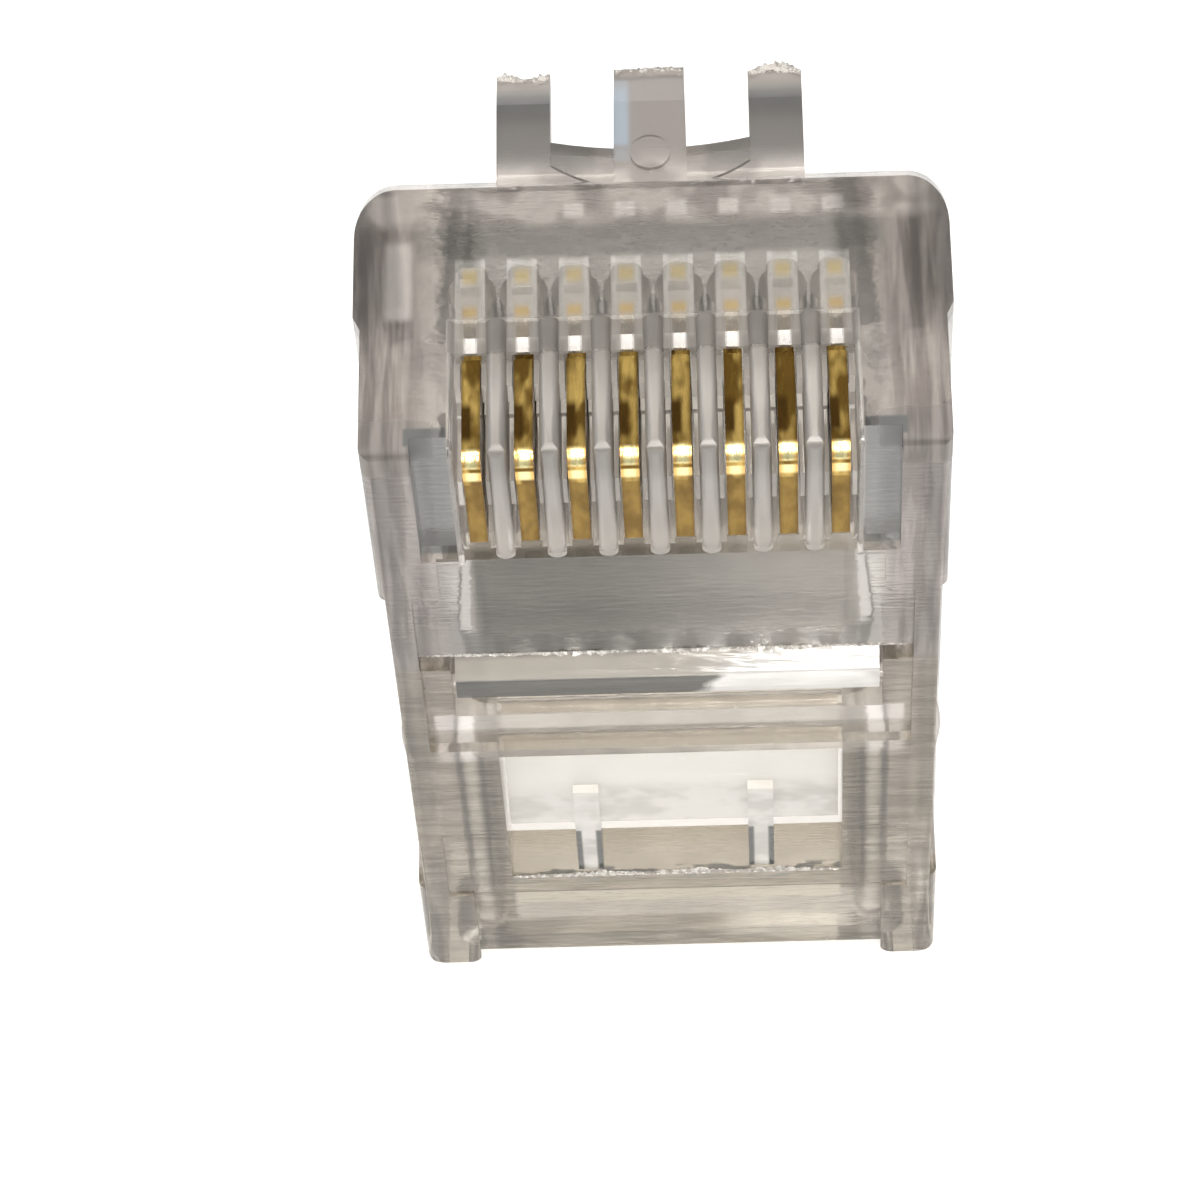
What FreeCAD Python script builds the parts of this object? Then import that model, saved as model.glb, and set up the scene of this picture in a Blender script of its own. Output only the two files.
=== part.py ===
import FreeCAD, Part
import math
import os
from FreeCAD import Vector

# Eight-way modular plug (8P8C) in clear polycarbonate, not yet crimped.
#
# One moulded housing holds eight stamped contact blades in a comb of slots.
# Behind the blades are two bars that a crimp tool drives inwards: the wire bar
# grips the eight conductors and the jacket bar grips the cable jacket. The
# locking lever has snapped off: only its three hinge legs stand on the nose.
#
# Frame: +Z points out of the nose, z = 0 is the cable end, X runs across the
# contacts, -Y is the contact side and +Y the latch side. Millimetres.
#
# Two more measures are used all through the file:
#   nose   distance back from the nose face (z = body_length - nose)
#   depth  distance in from the contact-side face (y = depth - rear_depth / 2)

# ---- outer body ----
body_length = 21.46
body_width = 11.68          # across the latch-side half
rear_depth = 8.0
nose_depth = 6.6
heel_start = 11.0           # where the latch side starts to thicken
heel_run = 1.4              # length of the slope up to rear_depth
heel_radius = 1.2
contact_side_inset = 0.14   # each side is this much narrower near the contacts
side_ledge_depth = 3.2      # depth at which the side steps out to full width
side_ledge_rise = 0.3       # the step slopes over this depth
latch_corner_radius = 0.8
contact_corner_radius = 0.2
nose_edge_radius = 0.22
nose_latch_bevel = 0.4
end_edge_radius = 0.6

# ---- sides: waist that a boot grips, and its nub ----
waist_start = 5.4
waist_length = 12.4
waist_inset = 0.14
nub_length = 2.6
nub_height = 0.16
nub_centre = 12.6
nub_start_depth = 0.9

# ---- contacts ----
contact_count = 8
contact_pitch = 1.016
blade_thickness = 0.36
blade_front = 0.38          # front edge, back from the nose face
blade_length = 3.12
blade_body_depth = 2.38     # lower edge before crimping, without the tines
blade_front_radius = 0.4
blade_heel_radius = 0.14
crown_length = 0.78         # raised front of the top edge, which meets the jack
crown_rise = 0.08
tine_count = 3
tine_length = 1.3
tine_width = 0.46
tine_point = 0.4            # height of the sharpened end of a tine
tine_setback = 0.62         # first tine, back from the front edge
tine_heel_gap = 0.12        # last tine, forward of the heel

# ---- comb of slots ----
divider_thickness = 0.38    # plastic rib between two slots
slot_rear_gap = 0.3         # open length behind the blade's heel
slot_shelf_depth = 1.75     # above it a slot is wide, below it fits the blade
slot_side_clearance = 0.03  # each side of the blade
slot_end_clearance = 0.05
front_window_depth = 3.08   # how far the slots run down the nose face
window_ramp_depth = 2.45    # each slot's floor ramps up to this in front of the blade
window_ramp_end = 0.25
rib_edge_radius = 0.14      # long edges of the ribs, on the contact side and the nose
nib_start = 1.5             # nibs on both sides of a slot steady the blade
nib_length = 0.85
nib_clearance = 0.048       # between a nib and the blade
nib_top = 0.3
shaft_length = 0.45         # open shaft at the front wall, down to the wire channel
shaft_depth = 4.65
shaft_corner_radius = 0.2
trough_start = 3.72         # the ribs end rounded in a shallow cross trough
trough_end = 4.12
trough_depth = 0.5
comb_step_wall = 0.12       # thin wall between the outer slots and the steps beside them
comb_step_width = 0.74
comb_step_depth = 0.38
comb_step_length = 3.97

# ---- wire channels ----
channel_radius = 0.48
channel_centre_depth = 4.15
channel_front = 1.25
front_wall = 0.92           # solid wall in front of the shafts
channel_rear = 5.2

# ---- cable cavity ----
cavity_width = 9.3
cavity_height = 5.6
cavity_floor_wall = 1.2     # latch-side wall
cavity_corner_radius = 1.1
funnel_end = 12.8           # the funnel narrows from here to the channels
mouth_flare = 0.4

# ---- shallow panel and groove on the contact side ----
panel_start = 4.12          # smooth panel between the comb and the wire bar
panel_width = 8.9
panel_shoulder = 5.6        # where it widens
panel_recess = 0.12
shoulder_radius = 0.25
groove_start = 7.88         # transverse groove round the wire bar
groove_end = 11.68
groove_width = 10.1
groove_recess = 0.22
groove_slope_depth = 0.6    # its front slopes down to this at the wire window

# ---- hinge line of each bar ----
hinge_radius = 0.2
hinge_clearance = 0.03
hinge_neck = 0.14           # thickness of each bar where it meets its hinge line

# ---- wire bar (grips the conductors) ----
wire_window_front = 8.65
wire_window_width = 8.9
wire_hinge_nose = 10.55
wire_hinge_depth = 1.0
wire_bar_front_gap = 0.14   # the bar's front swings close to the window's edge
wire_bar_side_gap = 0.06
wire_bar_front_depth = 1.3
wire_bar_ridge_nose = 9.44  # the bar's top is flat from here back
wire_bar_ridge_depth = 0.42
wire_bar_flat = 0.72
wire_bar_tip_depth = 2.5
wire_bar_tip_flat = 0.45
wire_bar_edge_radius = 0.1

# ---- jacket bar (grips the cable) ----
jacket_window_length = 5.5
jacket_window_width = 7.24
jacket_hinge_nose = 11.96
jacket_hinge_depth = 0.85
jacket_bar_side_gap = 0.08
jacket_bar_length = 3.55
jacket_bar_front_depth = 0.45
jacket_bar_rear_depth = 0.25
jacket_bar_thickness = 1.0
jacket_tooth_depth = 1.85
jacket_tooth_length = 1.2
jacket_bar_edge_radius = 0.15
tie_width = 0.55            # breakaway ties that hold the bar up
tie_height = 0.45
tie_spacing = 3.74
tie_depth = 0.15
tie_start = 13.9            # they run on as low ribs over the bar
tie_end_gap = 0.08

# ---- rear lip ----
rear_step_start = 15.4      # shallow step across the contact side
rear_step_width = 10.1
rear_step_recess = 0.07
lip_start = 18.24
lip_recess = 0.14
lip_width = 9.0
lip_setback = 0.36
lip_corner_radius = 0.3

# ---- broken latch root ----
latch_width = 6.1
outer_leg_width = 1.07
middle_leg_width = 1.46
middle_leg_draft = 0.03     # each side narrows by this towards the top
root_setback = 0.22         # back from the nose face
outer_leg_thickness = 0.72
middle_leg_thickness = 0.98
web_height = 0.9            # solid web between the legs, at the outer legs
web_sag = 0.22              # its top edge sags towards the middle
leg_height = 1.75           # whole part of a leg
break_height = 0.98         # torn part above it
break_slope = 0.22          # its front leans back by this
root_fillet = 0.4
scoop_width = 4.2           # shallow dish across the front of the root
scoop_sag = 0.75
scoop_low = 0.4             # its lowest point, under the latch side's level
scoop_depth = 0.14
gate_radius = 0.4
gate_height = 0.1
# How far each torn end falls short of full height, at even steps across the leg.
left_tear = (0.16, 0.1, 0.24, 0.2, 0.1)
middle_tear = (0.05, 0.03, 0.0, 0.02)
right_tear = (0.2, 0.05, 0.0, 0.04, 0.19)

half_width = body_width / 2
narrow_half_width = half_width - contact_side_inset
heel_end = heel_start + heel_run
cavity_top = rear_depth - cavity_floor_wall - cavity_height
blade_heel = blade_front + blade_length
jacket_window_rear = jacket_hinge_nose + jacket_window_length
outside = 1.0               # how far cutters start clear of the body


def y_of(depth):
    return depth - rear_depth / 2


def z_of(nose):
    return body_length - nose


def block(x, nose, depth):
    """Box between two x, two nose distances and two depths."""
    corner = Vector(x[0], y_of(depth[0]), z_of(nose[1]))
    return Part.makeBox(x[1] - x[0], depth[1] - depth[0], nose[1] - nose[0], corner)


def side_prism(points, x):
    """Outline of (nose, depth) points, pulled across the plug between two x."""
    outline = [Vector(x[0], y_of(depth), z_of(nose)) for nose, depth in points]
    face = Part.Face(Part.makePolygon(outline + outline[:1]))
    return face.extrude(Vector(x[1] - x[0], 0, 0))


def front_prism(points, nose):
    """Outline of (x, depth) points, pulled along the plug between two nose distances."""
    outline = [Vector(x, y_of(depth), z_of(nose[0])) for x, depth in points]
    face = Part.Face(Part.makePolygon(outline + outline[:1]))
    return face.extrude(Vector(0, 0, nose[0] - nose[1]))


def cross_rod(nose, depth, radius, half_length):
    """Round bar along X, centred across the plug."""
    start = Vector(-half_length, y_of(depth), z_of(nose))
    return Part.makeCylinder(radius, 2 * half_length, start, Vector(1, 0, 0))


def depth_rod(x, nose, radius, depth):
    """Round bar square to the contact face, between two depths."""
    start = Vector(x, y_of(depth[0]), z_of(nose))
    return Part.makeCylinder(radius, depth[1] - depth[0], start, Vector(0, 1, 0))


def near(a, b):
    return abs(a - b) < 1e-3


def round_edges(shape, radius, wanted):
    """Fillet every edge for which wanted(edge) is true."""
    return shape.makeFillet(radius, [edge for edge in shape.Edges if wanted(edge)])


def crosses_at(edge, nose, depth):
    """True for an edge along X that passes through one (nose, depth) point."""
    box = edge.BoundBox
    at_nose = near(box.ZMin, z_of(nose)) and near(box.ZMax, z_of(nose))
    return at_nose and near(box.YMin, y_of(depth)) and near(box.YMax, y_of(depth))


def mirrored(x_range):
    """An x range on the right and its mirror on the left."""
    return [x_range, (-x_range[1], -x_range[0])]


def contact_x(index):
    return (index - (contact_count - 1) / 2) * contact_pitch


# ---------------------------------------------------------------- housing

def side_outline():
    """Nose, heel and rear seen from the side, with bevelled and rounded corners."""
    bevel = nose_latch_bevel
    outline = [(0, 0), (body_length, 0), (body_length, rear_depth), (heel_end, rear_depth),
               (heel_start, nose_depth), (bevel, nose_depth), (0, nose_depth - bevel)]
    slab = side_prism(outline, (-body_width, body_width))
    slab = round_edges(slab, heel_radius, lambda edge: crosses_at(edge, heel_start, nose_depth)
                       or crosses_at(edge, heel_end, rear_depth))
    return round_edges(slab, nose_edge_radius, lambda edge: crosses_at(edge, 0, 0))


def front_outline():
    """Section seen from the nose: narrower near the contacts, with a step on each side."""
    section = [(narrow_half_width, 0), (narrow_half_width, side_ledge_depth - side_ledge_rise),
               (half_width, side_ledge_depth), (half_width, rear_depth)]
    section += [(-x, depth) for x, depth in reversed(section)]
    slab = front_prism(section, (-outside, body_length + outside))
    return round_edges(slab, contact_corner_radius,
                       lambda edge: edge.BoundBox.ZLength > 1 and near(edge.BoundBox.YMax, y_of(0)))


def end_outline():
    """Outline seen from the contact side, with the cable end's two corners rounded."""
    slab = block((-half_width, half_width), (0, body_length), (-outside, rear_depth + outside))
    return round_edges(slab, end_edge_radius,
                       lambda edge: edge.BoundBox.YLength > 1 and near(edge.BoundBox.ZMax, 0))


def outer_body():
    """What the outlines have in common, with the latch side's corners rounded."""
    body = side_outline().common(front_outline())
    body = round_edges(body, latch_corner_radius, is_latch_corner)
    return rear_lip(body.common(end_outline()))


def rear_lip(body):
    """Sets the contact-side wall back between two side walls that end round."""
    half = lip_width / 2
    notch = block((-half, half), (body_length - lip_setback, body_length), (-outside, cavity_top + outside))
    half_step = rear_step_width / 2
    step = block((-half_step, half_step), (rear_step_start, lip_start), (-outside, rear_step_recess))
    recess = block((-half, half), (lip_start, body_length), (-outside, lip_recess))

    def is_inner_corner(edge):
        box = edge.BoundBox
        at_end = near(box.ZMin, 0) and near(box.ZMax, 0) and near(box.XMin, box.XMax)
        return at_end and near(abs(box.XMin), half)

    return round_edges(body.cut(notch), lip_corner_radius, is_inner_corner).cut([step, recess])


def is_latch_corner(edge):
    """Long corners of the latch side, along the nose, the heel and the rear."""
    box = edge.BoundBox
    on_side = near(box.XMin, box.XMax) and near(abs(box.XMin), half_width)
    return on_side and box.YMin > y_of(side_ledge_depth) + 0.1 and box.ZLength > heel_run / 4


def waists():
    """Shallow relief along each side of the contact-side half."""
    step_start = side_ledge_depth - side_ledge_rise
    return [block(x, (waist_start, waist_start + waist_length), (-outside, step_start))
            for x in mirrored((narrow_half_width - waist_inset, body_width))]


def nubs():
    """Low arched rib on each waist."""
    half = nub_length / 2
    radius = (half ** 2 + nub_height ** 2) / (2 * nub_height)
    waist = narrow_half_width - waist_inset
    step_start = side_ledge_depth - side_ledge_rise
    made = []
    for sign, x in zip((1, -1), mirrored((waist - waist_inset, body_width))):
        disc = depth_rod(sign * (waist + nub_height - radius), nub_centre, radius,
                         (nub_start_depth, step_start))
        made.append(disc.common(block(x, (nub_centre - half, nub_centre + half), (0, rear_depth))))
    return made


def slot_half_width():
    return (contact_pitch - divider_thickness) / 2


def contact_slots():
    """For each blade a wide slot over a close one, open at the nose face."""
    wide = slot_half_width()
    close = blade_thickness / 2 + slot_side_clearance
    rear = blade_heel + slot_rear_gap
    cutters = []
    for index in range(contact_count):
        x = contact_x(index)
        slot = block((x - wide, x + wide), (-outside, rear - wide), (-outside, slot_shelf_depth))
        cutters += [
            slot.cut(nibs(x)),
            depth_rod(x, rear - wide, wide, (-outside, slot_shelf_depth)),
            front_window((x - wide, x + wide)),
            block((x - close, x + close),
                  (blade_front - slot_end_clearance, blade_heel + slot_end_clearance),
                  (-outside, channel_centre_depth)),
            front_shaft(x),
        ]
    return cutters + rib_edge_cutters()


def front_window(x):
    """Open front of a slot, whose floor ramps up towards the blade."""
    end = blade_front - slot_end_clearance
    outline = [(-outside, -outside), (-outside, front_window_depth), (0, front_window_depth),
               (window_ramp_end, window_ramp_depth), (end, window_ramp_depth), (end, -outside)]
    return side_prism(outline, x)


def nibs(x):
    """Thin pads on the two ribs that steady one blade."""
    wide = slot_half_width()
    inner = blade_thickness / 2 + nib_clearance
    nose = (nib_start, nib_start + nib_length)
    return [block(side, nose, (nib_top, slot_shelf_depth))
            for side in ((x - wide, x - inner), (x + inner, x + wide))]


def front_shaft(x):
    """Open shaft behind the front wall, in which the first tine meets its wire."""
    wide = slot_half_width()
    shaft = block((x - wide, x + wide), (front_wall, front_wall + shaft_length),
                  (slot_shelf_depth, shaft_depth))
    return round_edges(shaft, shaft_corner_radius,
                       lambda edge: edge.BoundBox.ZLength > shaft_length / 2
                       and near(edge.BoundBox.YMax, y_of(shaft_depth)))


def rib_edge_cutters():
    """What rounds the ribs' long edges, along the contact side and down the nose."""
    radius = rib_edge_radius
    reach = slot_half_width() + radius
    cutters = []
    for index in range(contact_count):
        x = contact_x(index)
        span = (x - reach, x + reach)
        along = [Part.makeCylinder(radius, trough_start + 2 * outside,
                                   Vector(side, y_of(radius), z_of(trough_start)))
                 for side in span]
        down = [depth_rod(side, radius, radius, (-2 * outside, front_window_depth + outside))
                for side in span]
        cutters += [block(span, (-outside, trough_start), (-outside, radius)).cut(along),
                    block(span, (-outside, radius), (-outside, front_window_depth)).cut(down)]
    return cutters


def comb_steps():
    """Shallow step on each side of the comb."""
    inner = contact_x(contact_count - 1) + slot_half_width() + comb_step_wall
    return [block(x, (-outside, comb_step_length), (-outside, comb_step_depth))
            for x in mirrored((inner, inner + comb_step_width))]


def cross_trough():
    """Trough behind the comb, which leaves the end of each rib round."""
    half = contact_x(contact_count - 1) + slot_half_width()
    trough = block((-half, half), (trough_start, trough_end), (-outside, trough_depth))
    rib_ends = [depth_rod(contact_x(index) + contact_pitch / 2, trough_start, divider_thickness / 2,
                          (-2 * outside, trough_depth))
                for index in range(contact_count - 1)]
    return trough.cut(rib_ends)


def wire_channels():
    """Overlapping round bores, which leave low ridges between the wires."""
    length = channel_rear - channel_front
    return [Part.makeCylinder(channel_radius, length,
                              Vector(contact_x(index), y_of(channel_centre_depth), z_of(channel_front)),
                              Vector(0, 0, -1))
            for index in range(contact_count)]


def rounded_section(width, depth, radius, nose):
    """Rounded rectangle across the plug at one nose distance, as a wire."""
    sharp = front_prism([(-width / 2, depth[0]), (width / 2, depth[0]),
                         (width / 2, depth[1]), (-width / 2, depth[1])], (nose, nose + 1))
    soft = round_edges(sharp, radius, lambda edge: edge.BoundBox.ZLength > 0.5)
    face = max((face for face in soft.Faces if face.BoundBox.ZLength < 1e-3),
               key=lambda face: face.CenterOfMass.z)
    return face.OuterWire


def jacket_section(nose, growth=0.0):
    depth = (cavity_top - growth, cavity_top + cavity_height + growth)
    return rounded_section(cavity_width + 2 * growth, depth, cavity_corner_radius + growth, nose)


def cable_cavity():
    """Room for the jacket, its flared mouth, and the funnel towards the wires."""
    bundle_width = (contact_count - 1) * contact_pitch + 2 * channel_radius
    bundle_depth = (channel_centre_depth - channel_radius, channel_centre_depth + channel_radius)
    bundle = rounded_section(bundle_width, bundle_depth, channel_radius * 0.9, channel_rear)
    straight = Part.Face(jacket_section(funnel_end)).extrude(Vector(0, 0, funnel_end - body_length))
    funnel = Part.makeLoft([bundle, jacket_section(funnel_end)], True, True)
    mouth = Part.makeLoft([jacket_section(body_length - mouth_flare),
                           jacket_section(body_length, mouth_flare)], True, True)
    return [straight, funnel, mouth]


def contact_side_panel():
    """Smooth panel that widens past two rounded shoulders."""
    narrow, wide = panel_width / 2, groove_width / 2
    outline = [(narrow, panel_start), (narrow, panel_shoulder), (wide, panel_shoulder),
               (wide, groove_start)]
    outline += [(-x, nose) for x, nose in reversed(outline)]
    corners = [Vector(x, y_of(-outside), z_of(nose)) for x, nose in outline]
    face = Part.Face(Part.makePolygon(corners + corners[:1]))
    panel = face.extrude(Vector(0, outside + panel_recess, 0))

    def is_shoulder(edge):
        box = edge.BoundBox
        level = near(box.ZMin, z_of(panel_shoulder)) and near(box.ZMax, z_of(panel_shoulder))
        return level and near(abs(box.XMin), narrow) and near(box.XMin, box.XMax)

    return round_edges(panel, shoulder_radius, is_shoulder)


def wire_groove():
    """Transverse groove whose front slopes down to the wire window."""
    outline = [(groove_start, -outside), (groove_start, panel_recess),
               (wire_window_front, groove_slope_depth), (wire_window_front, groove_recess),
               (groove_end, groove_recess), (groove_end, -outside)]
    return side_prism(outline, (-groove_width / 2, groove_width / 2))


def bar_windows():
    """Through windows for the two bars, each with a round seat for its hinge."""
    wire_half = wire_window_width / 2
    jacket_half = jacket_window_width / 2
    seat = hinge_radius + hinge_clearance
    return [
        block((-wire_half, wire_half), (wire_window_front, wire_hinge_nose),
              (-outside, channel_centre_depth)),
        cross_rod(wire_hinge_nose, wire_hinge_depth, seat, wire_half),
        block((-jacket_half, jacket_half), (jacket_hinge_nose, jacket_window_rear),
              (-outside, cavity_top + outside)),
        cross_rod(jacket_hinge_nose, jacket_hinge_depth, seat, jacket_half),
    ]


def leg_profile(thickness):
    """(nose, height) outline of one leg: whole below, leaning back where it tore."""
    front, back = root_setback, root_setback + thickness
    top = leg_height + break_height
    return [(front, -root_setback), (front, leg_height), (front + break_slope, top), (back, top),
            (back, -root_setback)]


def root_leg(x, thickness, tear, draft=0.0):
    """One hinge leg between two x, with its own torn end."""
    top = leg_height + break_height
    steps = len(tear) - 1
    left, right = x[0] + draft, x[1] - draft
    torn = [(left + (right - left) * step / steps, nose_depth + top - short)
            for step, short in enumerate(tear)]
    outline = [(x[1], nose_depth - root_setback), (x[0], nose_depth - root_setback)] + torn
    slab = front_prism(outline, (0, root_setback + thickness))
    profile = [(nose, nose_depth + height) for nose, height in leg_profile(thickness)]
    return slab.common(side_prism(profile, (-half_width, half_width)))


def latch_root():
    """Web and three torn hinge legs that are left of the locking lever."""
    half = latch_width / 2
    middle = middle_leg_width / 2
    inner = half - outer_leg_width
    back = root_setback + outer_leg_thickness
    web = block((-half, half), (root_setback, back), (nose_depth - root_setback, nose_depth + web_height))
    sag_radius = inner ** 2 / (2 * web_sag) + web_sag / 2
    centre = Vector(0, y_of(nose_depth + web_height - web_sag) + sag_radius, z_of(back))
    top_edge = Part.makeCylinder(sag_radius, outer_leg_thickness, centre, Vector(0, 0, 1))
    web = web.cut([top_edge, root_scoop()])
    fillet = block((-half, half), (back, back + root_fillet), (nose_depth - root_setback,
                                                             nose_depth + root_fillet))
    fillet = fillet.cut(cross_rod(back + root_fillet, nose_depth + root_fillet, root_fillet, half))
    return web.fuse([
        fillet,
        root_leg((-half, -inner), outer_leg_thickness, left_tear),
        root_leg((-middle, middle), middle_leg_thickness, middle_tear, middle_leg_draft),
        root_leg((inner, half), outer_leg_thickness, right_tear),
    ])


def root_scoop():
    """Shallow dish across the front of the root, with a curved lower edge."""
    radius = (scoop_width / 2) ** 2 / (2 * scoop_sag) + scoop_sag / 2
    height = y_of(nose_depth - scoop_low) + radius
    depth = root_setback + scoop_depth
    disc = Part.makeCylinder(radius, depth, Vector(0, height, z_of(depth)), Vector(0, 0, 1))
    band = block((-scoop_width / 2, scoop_width / 2), (0, depth),
                 (nose_depth - scoop_low, nose_depth + web_height))
    return disc.common(band)


def gate_mark():
    """Half-round stub where the moulding was cut from its sprue."""
    base = y_of(nose_depth + web_height / 2)
    return Part.makeCylinder(gate_radius, scoop_depth + gate_height,
                             Vector(0, base, z_of(root_setback + scoop_depth)), Vector(0, 0, 1))


def housing():
    body = outer_body().cut(waists() + [root_scoop()]).fuse(nubs() + [latch_root()])
    body = body.cut([contact_side_panel(), wire_groove()] + comb_steps())
    body = body.cut(cable_cavity() + wire_channels() + bar_windows())
    return body.cut(contact_slots() + [cross_trough()]).fuse(gate_mark()).removeSplitter()


# ---------------------------------------------------------------- contacts

def blade_outline():
    """(nose, depth) outline: crowned top edge, flat heel and pointed tines."""
    crown_end = blade_front + crown_length
    outline = [(blade_front, blade_body_depth), (blade_front, 0), (crown_end, 0),
               (crown_end + crown_rise, crown_rise), (blade_heel, crown_rise),
               (blade_heel, blade_body_depth)]
    first = blade_front + tine_setback
    last = blade_heel - tine_heel_gap - tine_width
    shoulder = blade_body_depth + tine_length - tine_point
    for index in reversed(range(tine_count)):
        start = first + (last - first) * index / (tine_count - 1)
        end = start + tine_width
        outline += [(end, blade_body_depth), (end, shoulder),
                    ((start + end) / 2, blade_body_depth + tine_length),
                    (start, shoulder), (start, blade_body_depth)]
    return outline


def contact(index):
    x = contact_x(index)
    blade = side_prism(blade_outline(), (x - blade_thickness / 2, x + blade_thickness / 2))
    blade = round_edges(blade, blade_front_radius, lambda edge: crosses_at(edge, blade_front, 0))
    return round_edges(blade, blade_heel_radius, lambda edge: crosses_at(edge, blade_heel, crown_rise))


# ---------------------------------------------------------------- crimp bars

def wire_bar():
    """Wedge across the wire window, round at its hinge line."""
    half = wire_window_width / 2 - wire_bar_side_gap
    front = wire_window_front + wire_bar_front_gap
    outline = [
        (front, wire_bar_front_depth), (wire_bar_ridge_nose, wire_bar_ridge_depth),
        (wire_bar_ridge_nose + wire_bar_flat, wire_bar_ridge_depth),
        (wire_hinge_nose, wire_hinge_depth - hinge_neck / 2),
        (wire_hinge_nose, wire_hinge_depth + hinge_neck / 2),
        (front + wire_bar_tip_flat, wire_bar_tip_depth), (front, wire_bar_tip_depth),
    ]
    bar = side_prism(outline, (-half, half))
    rounded = (outline[0], outline[1], outline[2], outline[6])
    bar = round_edges(bar, wire_bar_edge_radius,
                      lambda edge: any(crosses_at(edge, *corner) for corner in rounded))
    return bar.fuse(cross_rod(wire_hinge_nose, wire_hinge_depth, hinge_radius, half)).removeSplitter()


def jacket_bar():
    """Bar with a jacket tooth, round at its hinge line and held up by two ties."""
    half = jacket_window_width / 2 - jacket_bar_side_gap
    rear = jacket_hinge_nose + jacket_bar_length
    underside = jacket_bar_rear_depth + jacket_bar_thickness
    outline = [
        (jacket_hinge_nose, jacket_hinge_depth - hinge_neck / 2),
        (jacket_hinge_nose + 2 * hinge_radius, jacket_bar_front_depth),
        (rear, jacket_bar_rear_depth), (rear, jacket_tooth_depth),
        (rear - jacket_tooth_length, underside),
        (jacket_hinge_nose, jacket_hinge_depth + hinge_neck / 2),
    ]
    bar = side_prism(outline, (-half, half))
    bar = round_edges(bar, jacket_bar_edge_radius, lambda edge: crosses_at(edge, *outline[1])
                      or crosses_at(edge, *outline[2]))
    tie_end = jacket_window_rear - tie_end_gap
    ties = [block((x - tie_width / 2, x + tie_width / 2), (tie_start, tie_end),
                  (tie_depth, tie_depth + tie_height))
            for x in (-tie_spacing / 2, tie_spacing / 2)]
    hinge = cross_rod(jacket_hinge_nose, jacket_hinge_depth, hinge_radius, half)
    return bar.fuse(ties + [hinge]).removeSplitter()


def main():
    nodes = {"housing": housing(), "wire_bar": wire_bar(), "jacket_bar": jacket_bar()}
    for index in range(contact_count):
        nodes[f"contact_{index + 1}"] = contact(index)
    os.makedirs("parts", exist_ok=True)
    for name, shape in nodes.items():
        print(f"{name:12s} valid={shape.isValid()} solids={len(shape.Solids)} "
              f"faces={len(shape.Faces)} volume={shape.Volume:.3f}")
        shape.exportStep(f"parts/{name}.step")


main()
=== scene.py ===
# %% [markdown]
# # Clear modular plug, before crimping
# The object is a small see-through plug for a network cable: one clear moulded
# housing, two clear crimp bars and eight gold-plated contact blades. Its
# locking lever has snapped off. The shape comes from the CAD model, and this
# file gives it a camera, a studio and the finishes of the real materials.

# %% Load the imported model
import math
import random

import bmesh
import bpy
from mathutils import Matrix, Vector


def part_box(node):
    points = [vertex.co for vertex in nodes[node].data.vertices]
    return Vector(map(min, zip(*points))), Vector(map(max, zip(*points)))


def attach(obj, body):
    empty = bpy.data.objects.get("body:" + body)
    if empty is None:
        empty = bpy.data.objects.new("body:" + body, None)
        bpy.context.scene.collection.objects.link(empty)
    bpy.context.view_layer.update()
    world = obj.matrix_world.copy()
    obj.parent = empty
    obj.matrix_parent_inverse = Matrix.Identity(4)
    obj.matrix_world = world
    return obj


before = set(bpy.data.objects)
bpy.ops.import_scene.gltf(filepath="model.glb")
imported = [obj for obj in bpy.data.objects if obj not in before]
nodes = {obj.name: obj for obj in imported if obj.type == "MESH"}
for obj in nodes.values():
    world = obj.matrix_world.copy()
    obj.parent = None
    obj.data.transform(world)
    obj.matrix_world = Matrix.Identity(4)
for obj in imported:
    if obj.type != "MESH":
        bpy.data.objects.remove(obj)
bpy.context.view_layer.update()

print("CAD nodes:", sorted(nodes))

# %% [markdown]
# Every place in this file is measured from the model itself. The nose is the
# top of the housing, the contact face is its lowest Y, and the deep side of
# the plug is the latch side. The spacing of the contacts comes from two of
# them, so that all that repeats with them can follow it.

# %% Measure the housing and the contacts
MM = 0.001
low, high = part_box("housing")
middle = (low + high) / 2
nose_z = high.z
contact_y = low.y


def middle_x(name):
    """X of the middle of a node, in millimetres."""
    start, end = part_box(name)
    return (start.x + end.x) / 2 / MM


pitch = round(abs(middle_x("contact_2") - middle_x("contact_1")), 4)
print("housing box in mm:", [round(c / MM, 2) for c in (*low, *high)])
print("the contacts are", pitch, "mm apart")


def on_plug(side, deep, back):
    """A point from millimetres to the side, deep from the contact face and back from the nose."""
    return Vector((side * MM, contact_y + deep * MM, nose_z - back * MM))


# %% [markdown]
# A product picture of a small part is taken with a long lens from some way
# off, so that its parallel edges stay nearly parallel. The camera looks down
# on the nose and the contact face together. A camera in Blender looks along
# its own -Z axis, so its turn is built from the direction it looks in and
# the direction that is up in the picture.

# %% Camera
camera_place = Vector((1.456586, -57.649786, 105.911604)) * MM
look = Vector((-0.025903, 0.511648, -0.858805)).normalized()
picture_up = Vector((0.027304, 0.859134, 0.511021)).normalized()
picture_right = look.cross(picture_up).normalized()
picture_up = picture_right.cross(look)

lens = bpy.data.cameras.new("product_lens")
lens.sensor_width = 36.0
lens.lens = 157.13
lens.clip_start = 0.005
lens.clip_end = 10.0
camera = bpy.data.objects.new("product_camera", lens)
turn = Matrix((picture_right, picture_up, -look)).transposed()
camera.matrix_world = Matrix.Translation(camera_place) @ turn.to_4x4()
bpy.context.scene.collection.objects.link(camera)
bpy.context.scene.camera = camera
bpy.context.scene.view_settings.view_transform = "Standard"
print("camera is", round((camera_place - middle).length, 4), "m away")

# %% [markdown]
# A material in Blender is a graph of nodes. It can be drawn by hand in the
# shader editor, but code is shorter once a few helpers add a node and set or
# link its inputs in one call. A link carries another node's output, and a
# plain number is set on the socket itself.

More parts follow.
